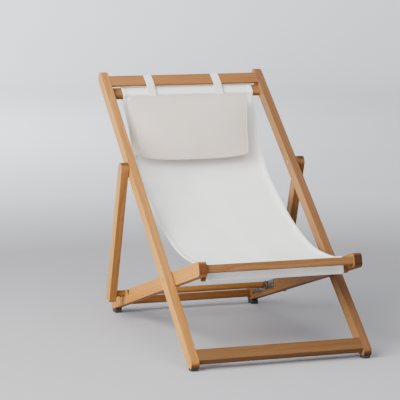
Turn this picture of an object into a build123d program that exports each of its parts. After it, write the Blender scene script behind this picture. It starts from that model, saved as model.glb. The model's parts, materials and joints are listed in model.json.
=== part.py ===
"""Folding deck chair: two crossed timber frames, a prop frame, a canvas sling and a head pillow.

Millimetres, +Z up, the front of the chair faces -Y, X runs across it.  Side shapes are drawn in
three local side frames whose first axis runs along a timber and whose second axis points to the
sitting side: "back" and "seat" start at the main pivot, "prop" starts at the prop pivot.
"""
import math
import os

from build123d import *

# ---- timber sections -----------------------------------------------------------------------
BACK_THICK = 25.0        # back rail, across the chair
BACK_DEPTH = 38.0
SEAT_THICK = 25.0
SEAT_DEPTH = 42.0
PROP_THICK = 24.0
PROP_DEPTH = 38.0
EDGE_ROUND = 1.5         # eased edges on the timber
CROSS_ROUND = 1.2        # eased edges on the cross members

# ---- places across the chair ---------------------------------------------------------------
BACK_OUT = 271.5         # outer face of a back rail
BACK_IN = BACK_OUT - BACK_THICK
RAIL_GAP = 2.0           # between a back rail and the seat rail inside it
SEAT_OUT = BACK_IN - RAIL_GAP
SEAT_IN = SEAT_OUT - SEAT_THICK
PROP_IN = BACK_OUT + RAIL_GAP
PROP_OUT = PROP_IN + PROP_THICK

# ---- side geometry -------------------------------------------------------------------------
BACK_ANGLE = 38.7        # back rails above the floor
SEAT_ANGLE = 16.3        # seat rails rise this much towards the front
PIVOT_Y = 291.9          # main pivot, measured from the toe of the back frame
PIVOT_Z = 214.5
BACK_FOOT = -310.0       # centre of the rounded foot, along a back rail from the pivot
BACK_TOP = 852.5         # centre of the rounded top
PROP_PIVOT = 449.8       # prop pivot, along a back rail
SEAT_FRONT = 256.8       # front end of a seat rail
SEAT_TAIL = -669.0       # rear end of a seat rail
SEAT_END_ROUND = 13.0
TAIL_ROUND = 9.0

# ---- cross members: (start, end) along the rail, (low, high) towards the sitting side ------
TOP_PLANK = ((798.0, 843.0), (11.0, 19.0))
TOP_BAR = ((766.0, 806.0), (-16.0, 4.0))
BOTTOM_BAR = ((-316.0, -276.0), (-1.5, 19.0))
FRONT_PLANK = ((227.0, 249.0), (-11.0, 11.0))
FRONT_BAR = ((188.0, 208.0), (-30.0, 16.0))
STRETCHER = ((-654.0, -634.0), (-11.0, 13.0))
BAR_ROUND = 7.0          # sling bars have well rounded long edges

# ---- notches and prop dowel ----------------------------------------------------------------
NOTCH_PITCH = 45.0
NOTCH_FRONT = -465.3     # front notch, along a seat rail
NOTCH_COUNT = 3
DOWEL_NOTCH = 1          # the dowel lies in the middle notch
DOWEL_RADIUS = 10.0
DOWEL_HEIGHT = 13.6      # dowel centre above the rail's centre line
NOTCH_PLAY = 0.5         # clearance below and beside the dowel
NOTCH_HALF = 12.0
DOWEL_SOCKET = 15.0      # depth of the blind socket in a strut
STRUT_BELOW = 22.0       # strut runs past the dowel centre
STRUT_END_ROUND = 8.0

# ---- toothed steel plates beside the notches ------------------------------------------------
PLATE_SPAN = (-612.0, -408.0)
PLATE_LOW = -5.0         # lower edge above the rail's centre line
PLATE_THICK = 2.0
TOOTH_RISE = 4.5         # tooth tips above the rail's upper edge
TOOTH_BACK = 17.0        # length of a tooth's sloping back
PLATE_SCREW_INSET = 9.0  # from a plate's ends to its outer screws
PLATE_SCREW_ABOVE = 2.0
PLATE_SCREW_RADIUS = 1.5
PLATE_SCREW_DEPTH = 12.0
PLATE_HEAD_RADIUS = 3.2
PLATE_HEAD_THICK = 1.2

# ---- pivots --------------------------------------------------------------------------------
BOLT_RADIUS = 4.0
PIVOT_CLEAR = 0.05       # radial running fit
HEAD_RADIUS = 7.0
HEAD_THICK = 4.0
POCKET_RADIUS = 7.5      # counterbore under a wood plug
POCKET_DEPTH = 10.0
PLUG_THICK = 5.0
WASHER_RADIUS = 11.0
WASHER_THICK = 1.7
NUT_RADIUS = 6.5
NUT_THICK = 6.0
NUT_GAP = 0.3

# ---- screws in the cross members -----------------------------------------------------------
SCREW_RADIUS = 2.0
SCREW_HEAD_RADIUS = 4.0
SCREW_HEAD_THICK = 2.5
SCREW_PLUG_RADIUS = 4.5
SCREW_PLUG_THICK = 3.5
SCREW_LENGTH = 50.0
SCREW_INSET = 10.0       # from a cross member's edge to its screw

# ---- feet ----------------------------------------------------------------------------------
PAD_THICK = 9.0
PAD_WIDTH = 21.0
FRONT_PAD_LENGTH = 26.0
REAR_FLAT = 8.5          # height of the flat cut under a seat rail's tail
REAR_PAD = (893.0, 927.0)
NAIL_RADIUS = 1.0
NAIL_HEAD_RADIUS = 2.5
NAIL_HEAD_THICK = 1.0
NAIL_LENGTH = 14.0
NAIL_SINK = 2.0          # nail head above the underside of its pad

# ---- soft parts ----------------------------------------------------------------------------
CLOTH = 1.6
CLOTH_CLEAR = 0.4        # cloth clear of the bar inside its sleeve
SLING_HALF = 214.0
# the hang of the sling between its two bars: (distance behind the toe, height)
SLING_HANG = ((856.0, 641.0), (826.0, 587.0), (797.0, 529.0), (770.0, 485.0), (728.0, 446.0),
              (654.0, 403.0), (550.0, 351.0), (455.0, 315.0), (363.0, 289.0), (290.0, 276.0),
              (213.0, 274.0), (155.0, 279.0))
PILLOW_SHIFT = -14.0     # the pillow hangs a little towards one side
PILLOW_HALF = 187.0
PILLOW_THICK = 50.0
PILLOW_LOW = (729.0, 509.0)      # lower front edge
PILLOW_HIGH = (816.0, 697.0)     # upper front edge
PILLOW_ROUND = 18.0
STRAP_HALF = 13.0
STRAP_MIDDLE = -6.0      # halfway between the two straps
STRAP_SPREAD = 112.0     # from there to each strap's centre
STRAP_THICK = 1.4
STRAP_CLEAR = 0.5
STRAP_DROP = 50.0        # strap ends below the top plank's lower edge
STRAP_LEAN = 7.0         # the rear run comes forward this much on its way down


def direction(degrees):
    """Unit vector in the side plane."""
    return (math.cos(math.radians(degrees)), math.sin(math.radians(degrees)))


def local_point(origin, axis, side, along, above):
    """Side-plane point from a distance along an axis and a distance to its sitting side."""
    return (origin[0] + axis[0] * along + side[0] * above,
            origin[1] + axis[1] * along + side[1] * above)


PIVOT = (PIVOT_Y, PIVOT_Z)
BACK_AXIS = direction(BACK_ANGLE)
BACK_SIDE = direction(BACK_ANGLE + 90)
SEAT_AXIS = direction(180 - SEAT_ANGLE)
SEAT_SIDE = direction(90 - SEAT_ANGLE)


def back(along, above=0.0):
    """Point on the back frame."""
    return local_point(PIVOT, BACK_AXIS, BACK_SIDE, along, above)


def seat(along, above=0.0):
    """Point on the seat frame."""
    return local_point(PIVOT, SEAT_AXIS, SEAT_SIDE, along, above)


NOTCHES = [NOTCH_FRONT - NOTCH_PITCH * i for i in range(NOTCH_COUNT)]
DOWEL = seat(NOTCHES[DOWEL_NOTCH], DOWEL_HEIGHT)
HANGER = back(PROP_PIVOT)
STRUT_LENGTH = math.dist(HANGER, DOWEL)
PROP_ANGLE = math.degrees(math.atan2(DOWEL[1] - HANGER[1], DOWEL[0] - HANGER[0]))
PROP_AXIS = direction(PROP_ANGLE)
PROP_SIDE = direction(PROP_ANGLE - 90)


def prop(along, above=0.0):
    """Point on the prop frame, from its pivot down the strut."""
    return local_point(HANGER, PROP_AXIS, PROP_SIDE, along, above)


def slab(points, x_low, x_high):
    """Extrude a closed side outline across the chair."""
    outline = make_face(Plane.YZ * Polyline(*[(p[0], p[1]) for p in points], close=True))
    return Pos(x_low, 0, 0) * extrude(outline, amount=x_high - x_low, dir=(1, 0, 0))


def bar(place, spans, x_low, x_high):
    """Rectangular member: spans are (start, end) along and (low, high) above in a local frame."""
    (start, end), (low, high) = spans
    corners = [place(start, low), place(end, low), place(end, high), place(start, high)]
    return slab(corners, x_low, x_high)


def rod(point, radius, x_low, x_high):
    """Cylinder across the chair."""
    middle = (x_low + x_high) / 2
    turned = Rot(0, 90, 0) * Cylinder(radius, abs(x_high - x_low))
    return Pos(middle, point[0], point[1]) * turned


def cross_edges(solid):
    """Edges that run across the chair."""
    return solid.edges().filter_by(Axis.X)


def side_edges(solid):
    """Edges round the two faces that look across the chair."""
    return solid.faces().filter_by(Axis.X).edges()


def between(side, inner, outer):
    """Order two distances from the centre on the chosen side, low first."""
    return sorted((side * inner, side * outer))


def mirror_solids(make):
    """The left and right copies of a small part, as one group."""
    return Compound(children=[make(-1), make(1)])


def screw_rows():
    """Every screw in the cross members: (point, rail outer face, frame name)."""
    rows = []
    for spans in (BOTTOM_BAR, TOP_BAR):
        (start, end), (low, high) = spans
        for along in (start + SCREW_INSET, end - SCREW_INSET):
            rows.append((back(along, (low + high) / 2), BACK_OUT, "back"))
    (start, end), (low, high) = TOP_PLANK
    rows.append((back((start + end) / 2, (low + high) / 2), BACK_OUT, "back"))
    (start, end), (low, high) = FRONT_BAR
    for above in (low + 2 * SCREW_INSET, high - SCREW_INSET):
        rows.append((seat((start + end) / 2, above), SEAT_OUT, "seat"))
    for spans in (FRONT_PLANK, STRETCHER):
        (start, end), (low, high) = spans
        rows.append((seat((start + end) / 2, (low + high) / 2), SEAT_OUT, "seat"))
    return rows


def screw(point, outer, side):
    """Countersunk screw driven inwards from a rail's outer face, under its plug."""
    head = outer - SCREW_PLUG_THICK
    neck = head - SCREW_HEAD_THICK
    shank = rod(point, SCREW_RADIUS, *between(side, head - SCREW_LENGTH, neck))
    return rod(point, SCREW_HEAD_RADIUS, *between(side, neck, head)) + shank


def screw_pocket(point, outer, side):
    """The hole that a screw and its plug fill."""
    head = outer - SCREW_PLUG_THICK - SCREW_HEAD_THICK
    pocket = rod(point, SCREW_PLUG_RADIUS, *between(side, head, outer + 1))
    return pocket + rod(point, SCREW_RADIUS, *between(side, outer - SCREW_LENGTH - 10, head))


def screw_group(frame):
    """All screws of one frame."""
    picks = [row for row in screw_rows() if row[2] == frame]
    return Compound(children=[screw(p, outer, side) for p, outer, _ in picks for side in (-1, 1)])


def plug_group(frame):
    """The wood plugs over the screws of one frame."""
    picks = [row for row in screw_rows() if row[2] == frame]
    plugs = []
    for point, outer, _ in picks:
        for side in (-1, 1):
            plugs.append(rod(point, SCREW_PLUG_RADIUS, *between(side, outer - SCREW_PLUG_THICK, outer)))
    return Compound(children=plugs)


def drill(solid, frame, side):
    """Cut the screw holes of one frame on one side."""
    for point, outer, name in screw_rows():
        if name == frame:
            solid = solid - screw_pocket(point, outer, side)
    return solid


def drill_both(solid, frame):
    """Cut the screw holes of one frame in a cross member."""
    return drill(drill(solid, frame, -1), frame, 1)


def back_rail(side):
    """Long rail with rounded ends, a flat for its foot pad and bores for both pivots."""
    length = BACK_TOP - BACK_FOOT
    middle = back((BACK_TOP + BACK_FOOT) / 2)
    low, high = between(side, BACK_IN, BACK_OUT)
    outline = Pos(middle[0], middle[1]) * Rot(0, 0, BACK_ANGLE) * SlotCenterToCenter(length, BACK_DEPTH)
    rail = Pos(low, 0, 0) * extrude(Plane.YZ * outline, amount=high - low, dir=(1, 0, 0))
    rail = fillet(side_edges(rail), EDGE_ROUND)
    foot = back(BACK_FOOT)
    sole = [(foot[0] - 60, PAD_THICK), (foot[0] - 60, -60), (foot[0] + 60, -60), (foot[0] + 60, PAD_THICK)]
    rail = rail - slab(sole, low - 5, high + 5)
    rail = rail - rod(PIVOT, BOLT_RADIUS, *between(side, BACK_IN - 1, BACK_OUT + 1))
    rail = rail - rod(PIVOT, POCKET_RADIUS, *between(side, BACK_OUT - POCKET_DEPTH, BACK_OUT + 1))
    rail = rail - rod(HANGER, BOLT_RADIUS, *between(side, BACK_IN - 1, BACK_OUT + 1))
    rail = rail - rod(HANGER, NUT_RADIUS, *between(side, BACK_IN - 1, BACK_IN + NUT_THICK))
    rail = rail - front_nail(side, NAIL_RADIUS)
    return drill(rail, "back", side)


def seat_rail(side):
    """Seat rail with rounded ends, three notches near its tail and the main pivot's bore."""
    half = SEAT_DEPTH / 2
    low, high = between(side, SEAT_IN, SEAT_OUT)
    rail = bar(seat, ((SEAT_TAIL, SEAT_FRONT), (-half, half)), low, high)
    ends = cross_edges(rail).sort_by(Axis.Y)
    rail = fillet(ends[:2], SEAT_END_ROUND)
    rail = fillet(cross_edges(rail).sort_by(Axis.Y)[-2:], TAIL_ROUND)
    rail = cut_notches(rail, low, high, half + 1)
    rail = fillet(side_edges(rail), EDGE_ROUND)
    floor_cut = [(PIVOT_Y, REAR_FLAT), (PIVOT_Y, -60), (PIVOT_Y + 800, -60), (PIVOT_Y + 800, REAR_FLAT)]
    rail = rail - slab(floor_cut, low - 5, high + 5)
    rail = rail - rod(PIVOT, BOLT_RADIUS + PIVOT_CLEAR, low - 5, high + 5)
    rail = rail - rear_nail(side, NAIL_RADIUS)
    rail = rail - Compound(children=plate_screw_shanks(side))
    return drill(rail, "seat", side)


def cut_notches(solid, low, high, top):
    """Cut the row of dowel notches, open up to a height above the rail's centre line."""
    bottom = DOWEL_RADIUS + NOTCH_PLAY
    for along in NOTCHES:
        centre = seat(along, DOWEL_HEIGHT)
        solid = solid - rod(centre, bottom, low - 5, high + 5)
        mouth = [seat(along - bottom, DOWEL_HEIGHT), seat(along + bottom, DOWEL_HEIGHT),
                 seat(along + NOTCH_HALF, top), seat(along - NOTCH_HALF, top)]
        solid = solid - slab(mouth, low - 5, high + 5)
    return solid


def notch_plate(side):
    """Toothed steel plate on a seat rail's inner face, with a hooked tooth behind each notch."""
    rear, front = PLATE_SPAN
    half = SEAT_DEPTH / 2
    low, high = between(side, SEAT_IN - PLATE_THICK, SEAT_IN)
    outline = [seat(rear, PLATE_LOW), seat(front, PLATE_LOW), seat(front, half)]
    for along in NOTCHES:
        tip = along - NOTCH_HALF
        outline += [seat(tip, half), seat(tip, half + TOOTH_RISE), seat(tip - TOOTH_BACK, half)]
    outline.append(seat(rear, half))
    plate = cut_notches(slab(outline, low, high), low, high, half + TOOTH_RISE + 1)
    return plate - Compound(children=plate_screw_shanks(side))


def plate_screw_points():
    """Where the screws of a notch plate go: near its ends and between its notches."""
    rear, front = PLATE_SPAN
    middles = [along - NOTCH_PITCH / 2 for along in NOTCHES[:-1]]
    places = [rear + PLATE_SCREW_INSET, front - PLATE_SCREW_INSET] + middles
    return [seat(along, PLATE_SCREW_ABOVE) for along in places]


def plate_screw_shanks(side):
    """Shanks of one plate's screws, from its inner face into the rail."""
    span = between(side, SEAT_IN - PLATE_THICK, SEAT_IN + PLATE_SCREW_DEPTH)
    return [rod(point, PLATE_SCREW_RADIUS, *span) for point in plate_screw_points()]


def plate_screws(side):
    """The pan head screws of one notch plate."""
    face = SEAT_IN - PLATE_THICK
    span = between(side, face - PLATE_HEAD_THICK, face)
    heads = [rod(point, PLATE_HEAD_RADIUS, *span) for point in plate_screw_points()]
    return [head + shank for head, shank in zip(heads, plate_screw_shanks(side))]


def prop_strut(side):
    """Strut with a rounded top, bored for its pivot and socketed for the dowel."""
    half = PROP_DEPTH / 2
    low, high = between(side, PROP_IN, PROP_OUT)
    strut = bar(prop, ((0, STRUT_LENGTH + STRUT_BELOW), (-half, half)), low, high)
    strut = fillet(cross_edges(strut).sort_by(Axis.Z)[:2], STRUT_END_ROUND)
    strut = strut + rod(HANGER, half, low, high)
    strut = fillet(side_edges(strut), EDGE_ROUND)
    strut = strut - rod(HANGER, BOLT_RADIUS + PIVOT_CLEAR, low - 5, high + 5)
    strut = strut - rod(HANGER, POCKET_RADIUS, *between(side, PROP_OUT - POCKET_DEPTH, PROP_OUT + 1))
    return strut - rod(DOWEL, DOWEL_RADIUS, *between(side, PROP_IN - 1, PROP_IN + DOWEL_SOCKET))


def rounded_bar(place, spans, half, radius):
    """Cross member with rounded long edges."""
    return fillet(cross_edges(bar(place, spans, -half, half)), radius)


def main_bolt(side):
    """Main pivot bolt: head in the back rail's pocket, shank through the seat rail."""
    head = BACK_OUT - POCKET_DEPTH + HEAD_THICK
    shank = rod(PIVOT, BOLT_RADIUS, *between(side, SEAT_IN - NUT_GAP - NUT_THICK, head - HEAD_THICK))
    return rod(PIVOT, HEAD_RADIUS, *between(side, head - HEAD_THICK, head)) + shank


def main_plug(side):
    """Wood plug over a main pivot bolt."""
    return rod(PIVOT, POCKET_RADIUS, *between(side, BACK_OUT - PLUG_THICK, BACK_OUT))


def main_washer(side):
    """Spacer washer between a back rail and its seat rail."""
    washer = rod(PIVOT, WASHER_RADIUS, *between(side, BACK_IN - WASHER_THICK, BACK_IN))
    return washer - rod(PIVOT, BOLT_RADIUS, *between(side, BACK_IN - 5, BACK_IN + 5))


def main_nut(side):
    """Domed cap nut on the inner end of a main pivot bolt."""
    low, high = between(side, SEAT_IN - NUT_GAP - NUT_THICK - 3, SEAT_IN - NUT_GAP)
    nut = rod(PIVOT, NUT_RADIUS, low, high)
    inner_end = nut.edges().sort_by(Axis.X)[0 if side > 0 else -1]
    nut = fillet(inner_end, 2.5)
    return nut - rod(PIVOT, BOLT_RADIUS, *between(side, SEAT_IN - NUT_GAP - NUT_THICK, SEAT_IN))


def prop_bolt(side):
    """Prop pivot bolt: head in the strut's pocket, shank into the nut in the back rail."""
    head = PROP_OUT - POCKET_DEPTH + HEAD_THICK + NUT_GAP
    neck = head - HEAD_THICK
    shank = rod(HANGER, BOLT_RADIUS, *between(side, BACK_IN + 1, neck))
    return rod(HANGER, HEAD_RADIUS, *between(side, neck, head)) + shank


def prop_plug(side):
    """Wood plug over a prop pivot bolt."""
    return rod(HANGER, POCKET_RADIUS, *between(side, PROP_OUT - PLUG_THICK, PROP_OUT))


def prop_washer(side):
    """Spacer washer between a strut and its back rail."""
    washer = rod(HANGER, WASHER_RADIUS, *between(side, BACK_OUT, BACK_OUT + WASHER_THICK))
    return washer - rod(HANGER, BOLT_RADIUS, *between(side, BACK_OUT - 5, BACK_OUT + 5))


def prop_nut(side):
    """Round nut let into a back rail's inner face."""
    nut = rod(HANGER, NUT_RADIUS, *between(side, BACK_IN + 0.5, BACK_IN + NUT_THICK))
    return nut - rod(HANGER, BOLT_RADIUS, *between(side, BACK_IN + 1, BACK_IN + 10))


def front_pad(side):
    """Rubber pad under a back rail's foot."""
    y = back(BACK_FOOT)[0]
    x = side * (BACK_OUT + BACK_IN) / 2
    pad = Pos(x, y, PAD_THICK / 2) * Box(PAD_WIDTH, FRONT_PAD_LENGTH, PAD_THICK)
    pad = fillet(pad.edges().filter_by(Axis.Z), 3)
    return pad - front_nail(side, NAIL_HEAD_RADIUS)


def front_nail(side, radius):
    """Nail through a front pad, drawn with any shank or hole radius."""
    return nail_shape(side * (BACK_OUT + BACK_IN) / 2, back(BACK_FOOT)[0], radius)


def rear_nail(side, radius):
    """Nail through a rear pad."""
    return nail_shape(side * (SEAT_OUT + SEAT_IN) / 2, sum(REAR_PAD) / 2, radius)


def nail_shape(x, y, radius):
    """Upright nail: the shank, and a hole of a given radius for its head below it."""
    shank = Pos(x, y, NAIL_SINK + NAIL_LENGTH / 2) * Cylinder(NAIL_RADIUS, NAIL_LENGTH)
    head_height = NAIL_SINK + NAIL_HEAD_THICK
    return shank + Pos(x, y, head_height / 2) * Cylinder(radius, head_height)


def nail(x, y):
    """Upright nail with its head sunk above the pad's underside."""
    shank = Pos(x, y, NAIL_SINK + NAIL_LENGTH / 2) * Cylinder(NAIL_RADIUS, NAIL_LENGTH)
    head = Pos(x, y, NAIL_SINK + NAIL_HEAD_THICK / 2) * Cylinder(NAIL_HEAD_RADIUS, NAIL_HEAD_THICK)
    return shank + head


def pad_nails():
    """The nails of the front pads and of the rear pads, as two groups."""
    front_y = back(BACK_FOOT)[0]
    rear_y = sum(REAR_PAD) / 2
    front = [nail(side * (BACK_OUT + BACK_IN) / 2, front_y) for side in (-1, 1)]
    rear = [nail(side * (SEAT_OUT + SEAT_IN) / 2, rear_y) for side in (-1, 1)]
    return Compound(children=front), Compound(children=rear)


def rear_pad(side):
    """Rubber wedge under a seat rail's tail."""
    start, end = REAR_PAD
    slope = math.tan(math.radians(SEAT_ANGLE))
    under = seat(0, -SEAT_DEPTH / 2)

    def underside(y):
        return under[1] - (y - under[0]) * slope

    flat_start = under[0] + (under[1] - REAR_FLAT) / slope
    middle = side * (SEAT_OUT + SEAT_IN) / 2
    points = [(start, 0), (end, 0), (end, REAR_FLAT), (flat_start, REAR_FLAT), (start, underside(start))]
    pad = slab(points, middle - PAD_WIDTH / 2, middle + PAD_WIDTH / 2)
    return pad - rear_nail(side, NAIL_HEAD_RADIUS)


def sleeve(place, spans):
    """Cloth sleeve round a sling bar."""
    (start, end), (low, high) = spans
    grow = CLOTH_CLEAR + CLOTH
    outer_spans = ((start - grow, end + grow), (low - grow, high + grow))
    inner_spans = ((start - CLOTH_CLEAR, end + CLOTH_CLEAR), (low - CLOTH_CLEAR, high + CLOTH_CLEAR))
    outer = rounded_bar(place, outer_spans, SLING_HALF, BAR_ROUND + grow)
    inner = rounded_bar(place, inner_spans, SLING_HALF + 1, BAR_ROUND + CLOTH_CLEAR)
    return outer - inner


def sling():
    """One canvas sheet hung between its two bars, sewn into a sleeve at each end."""
    top = back(TOP_BAR[0][0], TOP_BAR[1][1] - BAR_ROUND)
    front = seat(FRONT_BAR[0][0], FRONT_BAR[1][1] - BAR_ROUND)
    line = Plane.YZ * Spline(top, *SLING_HANG, front)
    half = CLOTH / 2
    middle = make_face(Plane.YZ * offset_band(line, half))
    sheet = Pos(-SLING_HALF, 0, 0) * extrude(middle, amount=2 * SLING_HALF, dir=(1, 0, 0))
    keep = solid_bar(back, TOP_BAR) + solid_bar(seat, FRONT_BAR)
    return sheet - keep + sleeve(back, TOP_BAR) + sleeve(seat, FRONT_BAR)


def solid_bar(place, spans):
    """A sling bar with its cloth clearance, used to trim the sheet."""
    (start, end), (low, high) = spans
    grown = ((start - CLOTH_CLEAR, end + CLOTH_CLEAR), (low - CLOTH_CLEAR, high + CLOTH_CLEAR))
    return rounded_bar(place, grown, SLING_HALF + 2, BAR_ROUND + CLOTH_CLEAR)


def offset_band(line, half):
    """Closed outline of a band of cloth either side of a side-plane curve."""
    steps = 60
    upper = []
    lower = []
    for i in range(steps + 1):
        place = line @ (i / steps)
        heading = line % (i / steps)
        upper.append((place.Y - heading.Z * half, place.Z + heading.Y * half))
        lower.append((place.Y + heading.Z * half, place.Z - heading.Y * half))
    ends = [Line(upper[0], lower[0]), Line(upper[-1], lower[-1])]
    return Wire([Spline(*upper), Spline(*lower)] + ends)


def pillow():
    """Boxed pillow lying against the upper sling."""
    rise = (PILLOW_HIGH[0] - PILLOW_LOW[0], PILLOW_HIGH[1] - PILLOW_LOW[1])
    length = math.hypot(*rise)
    depth = (rise[1] / length * PILLOW_THICK, -rise[0] / length * PILLOW_THICK)
    corners = [PILLOW_LOW, PILLOW_HIGH,
               (PILLOW_HIGH[0] + depth[0], PILLOW_HIGH[1] + depth[1]),
               (PILLOW_LOW[0] + depth[0], PILLOW_LOW[1] + depth[1])]
    body = slab(corners, PILLOW_SHIFT - PILLOW_HALF, PILLOW_SHIFT + PILLOW_HALF)
    return fillet(cross_edges(body), PILLOW_ROUND)


def pillow_strap(side):
    """Webbing loop from the pillow's top over the top plank and down behind it."""
    centre = STRAP_MIDDLE + side * STRAP_SPREAD
    (start, end), (low, high) = TOP_PLANK
    gap = STRAP_CLEAR
    out = STRAP_CLEAR + STRAP_THICK
    foot = start - STRAP_DROP
    rear = high - STRAP_LEAN
    outer = [back(foot, high + out), back(end + out, high + out), back(end + out, low - out),
             back(start - 6, low - out), back(foot, rear - STRAP_THICK)]
    inner = [back(foot, rear), back(start - 6, low - gap), back(end + gap, low - gap),
             back(end + gap, high + gap), back(foot, high + gap)]
    return slab(outer + inner, centre - STRAP_HALF, centre + STRAP_HALF)


def build():
    """Every node of the chair by name."""
    front_nails, rear_nails = pad_nails()
    nodes = {
        "top_plank": rounded_bar(back, TOP_PLANK, BACK_IN, CROSS_ROUND),
        "top_sling_bar": rounded_bar(back, TOP_BAR, BACK_IN, BAR_ROUND),
        "bottom_bar": rounded_bar(back, BOTTOM_BAR, BACK_IN, CROSS_ROUND),
        "front_plank": rounded_bar(seat, FRONT_PLANK, SEAT_IN, CROSS_ROUND),
        "front_sling_bar": rounded_bar(seat, FRONT_BAR, SEAT_IN, BAR_ROUND),
        "rear_stretcher": rounded_bar(seat, STRETCHER, SEAT_IN, CROSS_ROUND),
        "back_screws": screw_group("back"),
        "back_plugs": plug_group("back"),
        "seat_screws": screw_group("seat"),
        "seat_plugs": plug_group("seat"),
        "main_pivot_bolts": mirror_solids(main_bolt),
        "main_pivot_plugs": mirror_solids(main_plug),
        "main_pivot_washers": mirror_solids(main_washer),
        "main_pivot_nuts": mirror_solids(main_nut),
        "prop_pivot_bolts": mirror_solids(prop_bolt),
        "prop_pivot_plugs": mirror_solids(prop_plug),
        "prop_pivot_washers": mirror_solids(prop_washer),
        "prop_pivot_nuts": mirror_solids(prop_nut),
        "prop_dowel": rod(DOWEL, DOWEL_RADIUS, -PROP_IN - DOWEL_SOCKET, PROP_IN + DOWEL_SOCKET),
        "notch_plate_screws": Compound(children=plate_screws(-1) + plate_screws(1)),
        "front_pad_nails": front_nails,
        "rear_pad_nails": rear_nails,
        "sling": sling(),
        "pillow": pillow(),
    }
    for name in ("top_plank", "top_sling_bar", "bottom_bar"):
        nodes[name] = drill_both(nodes[name], "back")
    for name in ("front_plank", "front_sling_bar", "rear_stretcher"):
        nodes[name] = drill_both(nodes[name], "seat")
    for side, word in ((-1, "left"), (1, "right")):
        nodes["back_rail_" + word] = back_rail(side)
        nodes["seat_rail_" + word] = seat_rail(side)
        nodes["prop_strut_" + word] = prop_strut(side)
        nodes["notch_plate_" + word] = notch_plate(side)
        nodes["front_foot_pad_" + word] = front_pad(side)
        nodes["rear_foot_pad_" + word] = rear_pad(side)
        nodes["pillow_strap_" + word] = pillow_strap(side)
    return nodes


NODES = build()
BOXES = [shape.bounding_box() for shape in NODES.values()]
CENTRE_Y = (min(box.min.Y for box in BOXES) + max(box.max.Y for box in BOXES)) / 2

os.makedirs("parts", exist_ok=True)
for node, shape in NODES.items():
    export_step(Pos(0, -CENTRE_Y, 0) * shape, "parts/" + node + ".step")
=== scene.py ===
"""Looks of the folding deck chair: oiled timber, a canvas sling, a stuffed pillow and webbing."""
import json
import math
import random

import bpy
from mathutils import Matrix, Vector


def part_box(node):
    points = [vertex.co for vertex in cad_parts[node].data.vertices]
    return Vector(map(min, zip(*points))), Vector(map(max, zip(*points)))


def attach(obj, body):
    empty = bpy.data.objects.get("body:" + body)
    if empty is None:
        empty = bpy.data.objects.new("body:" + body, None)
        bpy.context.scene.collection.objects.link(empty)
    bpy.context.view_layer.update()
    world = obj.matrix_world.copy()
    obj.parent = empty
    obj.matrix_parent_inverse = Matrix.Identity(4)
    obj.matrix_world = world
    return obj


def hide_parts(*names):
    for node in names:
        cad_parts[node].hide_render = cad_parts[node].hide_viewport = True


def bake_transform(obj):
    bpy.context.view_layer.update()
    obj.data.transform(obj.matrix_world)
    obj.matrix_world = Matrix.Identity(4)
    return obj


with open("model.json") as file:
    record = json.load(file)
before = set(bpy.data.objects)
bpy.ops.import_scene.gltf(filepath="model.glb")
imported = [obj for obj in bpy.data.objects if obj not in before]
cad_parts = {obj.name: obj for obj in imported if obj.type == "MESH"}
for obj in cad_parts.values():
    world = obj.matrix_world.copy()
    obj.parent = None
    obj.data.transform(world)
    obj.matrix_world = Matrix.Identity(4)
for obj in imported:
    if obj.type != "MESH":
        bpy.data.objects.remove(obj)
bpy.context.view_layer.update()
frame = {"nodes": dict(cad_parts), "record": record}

MM = 0.001
JOINTS = {j["name"]: j for j in frame["record"]["behaviour"]["joints"]}
PIVOT = JOINTS["back_fold"]["pos_m"][1:]   # (y, z) of the main pivots
TOE = PIVOT[0] - 0.2919                    # y where the back frame's front face meets the floor
BACK_ANGLE = 38.7                          # slopes of the three frames, in degrees
SEAT_ANGLE = 16.3
PROP_ANGLE = 109.1

# ---- side frames (millimetres in, metres out) ------------------------------------------------


def heading(degrees):
    """Unit direction at this angle."""
    return math.cos(math.radians(degrees)), math.sin(math.radians(degrees))


BACK_AXIS, BACK_SIDE = heading(BACK_ANGLE), heading(BACK_ANGLE + 90)
SEAT_AXIS, SEAT_SIDE = heading(180 - SEAT_ANGLE), heading(90 - SEAT_ANGLE)


def back(along, above=0.0):
    """(y, z) of a point on the back frame, from the main pivot."""
    return (PIVOT[0] + (BACK_AXIS[0] * along + BACK_SIDE[0] * above) * MM,
            PIVOT[1] + (BACK_AXIS[1] * along + BACK_SIDE[1] * above) * MM)


def seat(along, above=0.0):
    """(y, z) of a point on the seat frame, from the main pivot."""
    return (PIVOT[0] + (SEAT_AXIS[0] * along + SEAT_SIDE[0] * above) * MM,
            PIVOT[1] + (SEAT_AXIS[1] * along + SEAT_SIDE[1] * above) * MM)


# ---- node helpers ----------------------------------------------------------------------------


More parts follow.
